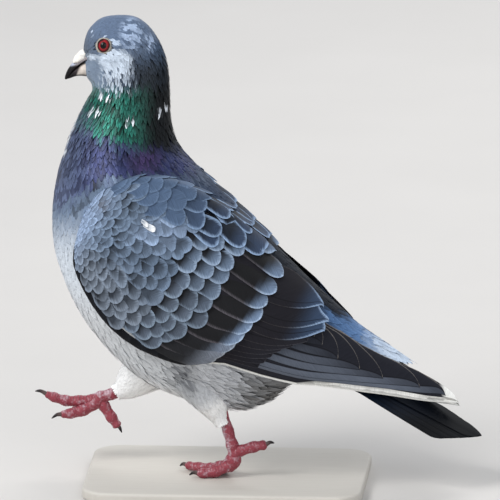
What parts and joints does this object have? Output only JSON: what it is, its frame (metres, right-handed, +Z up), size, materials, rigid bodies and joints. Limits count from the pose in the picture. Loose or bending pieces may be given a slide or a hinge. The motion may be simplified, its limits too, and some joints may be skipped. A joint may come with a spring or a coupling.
{
  "type": "pigeon",
  "caption": "Still life-size pigeon in plumage, walking stance with one foot lifted, folded wings and tail, on a plain flat base.",
  "frame": {"origin": "on the floor, under the middle of the bounding box", "axes": "+Z up, -Y the way the bird faces, +X the bird's left side"},
  "size_m": [0.112, 0.243, 0.2554],
  "materials": {
    "head_plumage": "short soft blue-grey feathers with white cheek and flecks",
    "neck_plumage": "glossy green and purple feathers",
    "body_plumage": "soft blue-grey feathers, whitish on belly, legs and rump",
    "wing_plumage": "overlapping slate feathers with pale edges",
    "flight_feathers": "firm dark vanes with pale edges, outermost quill white",
    "scaly_skin": "pink-red scaly skin",
    "horn": "dark smooth horn",
    "cere": "chalky off-white",
    "eye": "wet orange-red iris with a black pupil",
    "base": "plain painted pale grey"
  },
  "bodies": {
    "root": {"head": "head_plumage", "bill_upper": "horn", "bill_lower": "horn", "cere": "cere", "eye_left": "eye", "eye_right": "eye", "neck": "neck_plumage", "trunk": "body_plumage", "rump": "body_plumage", "tail": "flight_feathers", "wing_left_coverts": "wing_plumage", "wing_left_scapulars": "wing_plumage", "wing_left_secondaries": "flight_feathers", "wing_left_primaries": "flight_feathers", "wing_right_coverts": "wing_plumage", "wing_right_scapulars": "wing_plumage", "wing_right_secondaries": "flight_feathers", "wing_right_primaries": "flight_feathers", "thigh_left": "body_plumage", "tarsus_left": "scaly_skin", "toe_left_inner": "scaly_skin", "claw_left_inner": "horn", "toe_left_middle": "scaly_skin", "claw_left_middle": "horn", "toe_left_outer": "scaly_skin", "claw_left_outer": "horn", "toe_left_hind": "scaly_skin", "claw_left_hind": "horn", "thigh_right": "body_plumage", "tarsus_right": "scaly_skin", "toe_right_inner": "scaly_skin", "claw_right_inner": "horn", "toe_right_middle": "scaly_skin", "claw_right_middle": "horn", "toe_right_outer": "scaly_skin", "claw_right_outer": "horn", "toe_right_hind": "scaly_skin", "claw_right_hind": "horn", "stand_base": "base"}
  },
  "joints": []
}
